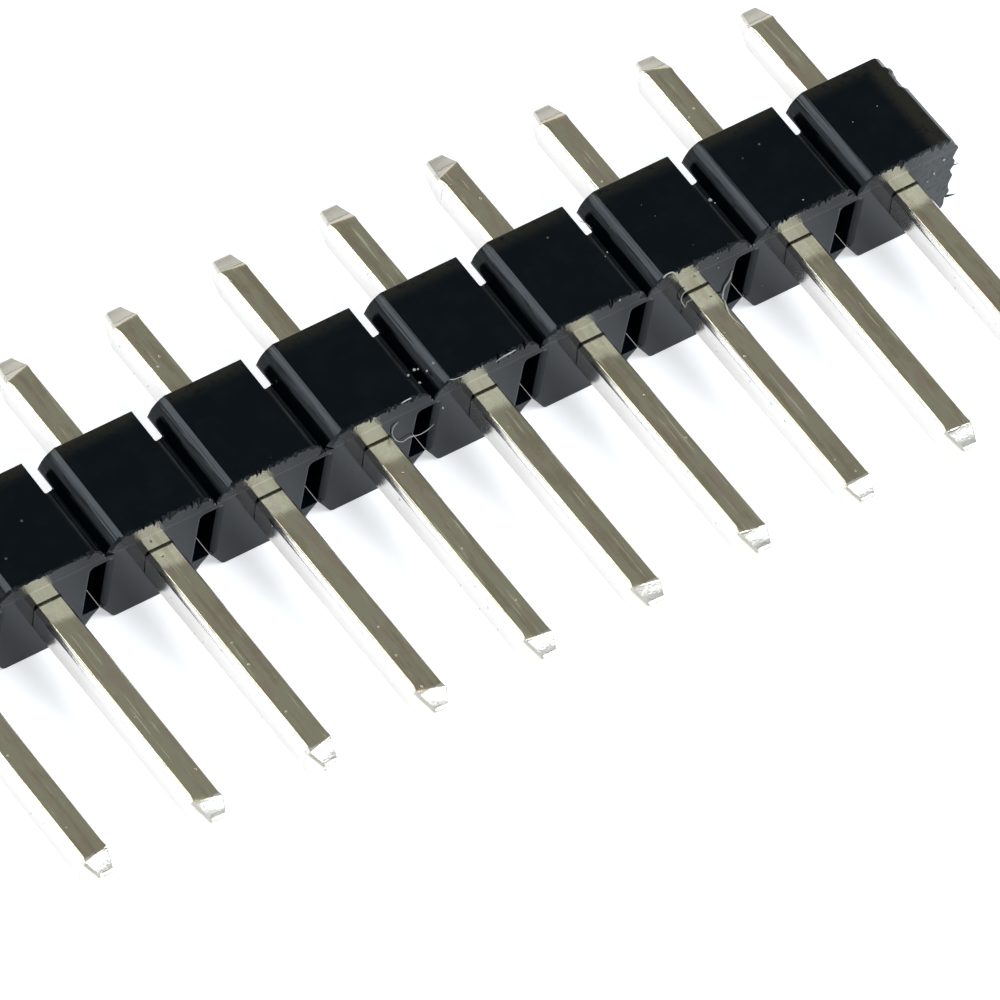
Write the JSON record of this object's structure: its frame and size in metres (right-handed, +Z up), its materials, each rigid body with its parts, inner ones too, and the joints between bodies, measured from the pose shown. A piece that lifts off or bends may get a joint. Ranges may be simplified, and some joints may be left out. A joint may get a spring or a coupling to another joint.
{
  "type": "pin header strip",
  "caption": "Single-row breakaway pin header: a grooved black insulator bar with long square mating posts on one side and short solder tails on the other.",
  "frame": {"origin": "under the middle of the whole part's box, on the plane it rests on", "axes": "+X along the strip towards way 1, -Y towards the mating post tips, +Y towards the solder tail tips, +Z up from the insulator's resting side"},
  "size_m": [0.0252, 0.0116, 0.0025],
  "materials": {
    "insulator": "moulded black glass-filled polyester, smooth with a soft gloss",
    "contact": "square drawn brass wire with a pale gold flash, satin"
  },
  "bodies": {
    "root": {"housing": "insulator", "pin_01": "contact", "pin_02": "contact", "pin_03": "contact", "pin_04": "contact", "pin_05": "contact", "pin_06": "contact", "pin_07": "contact", "pin_08": "contact", "pin_09": "contact", "pin_10": "contact"}
  },
  "joints": []
}
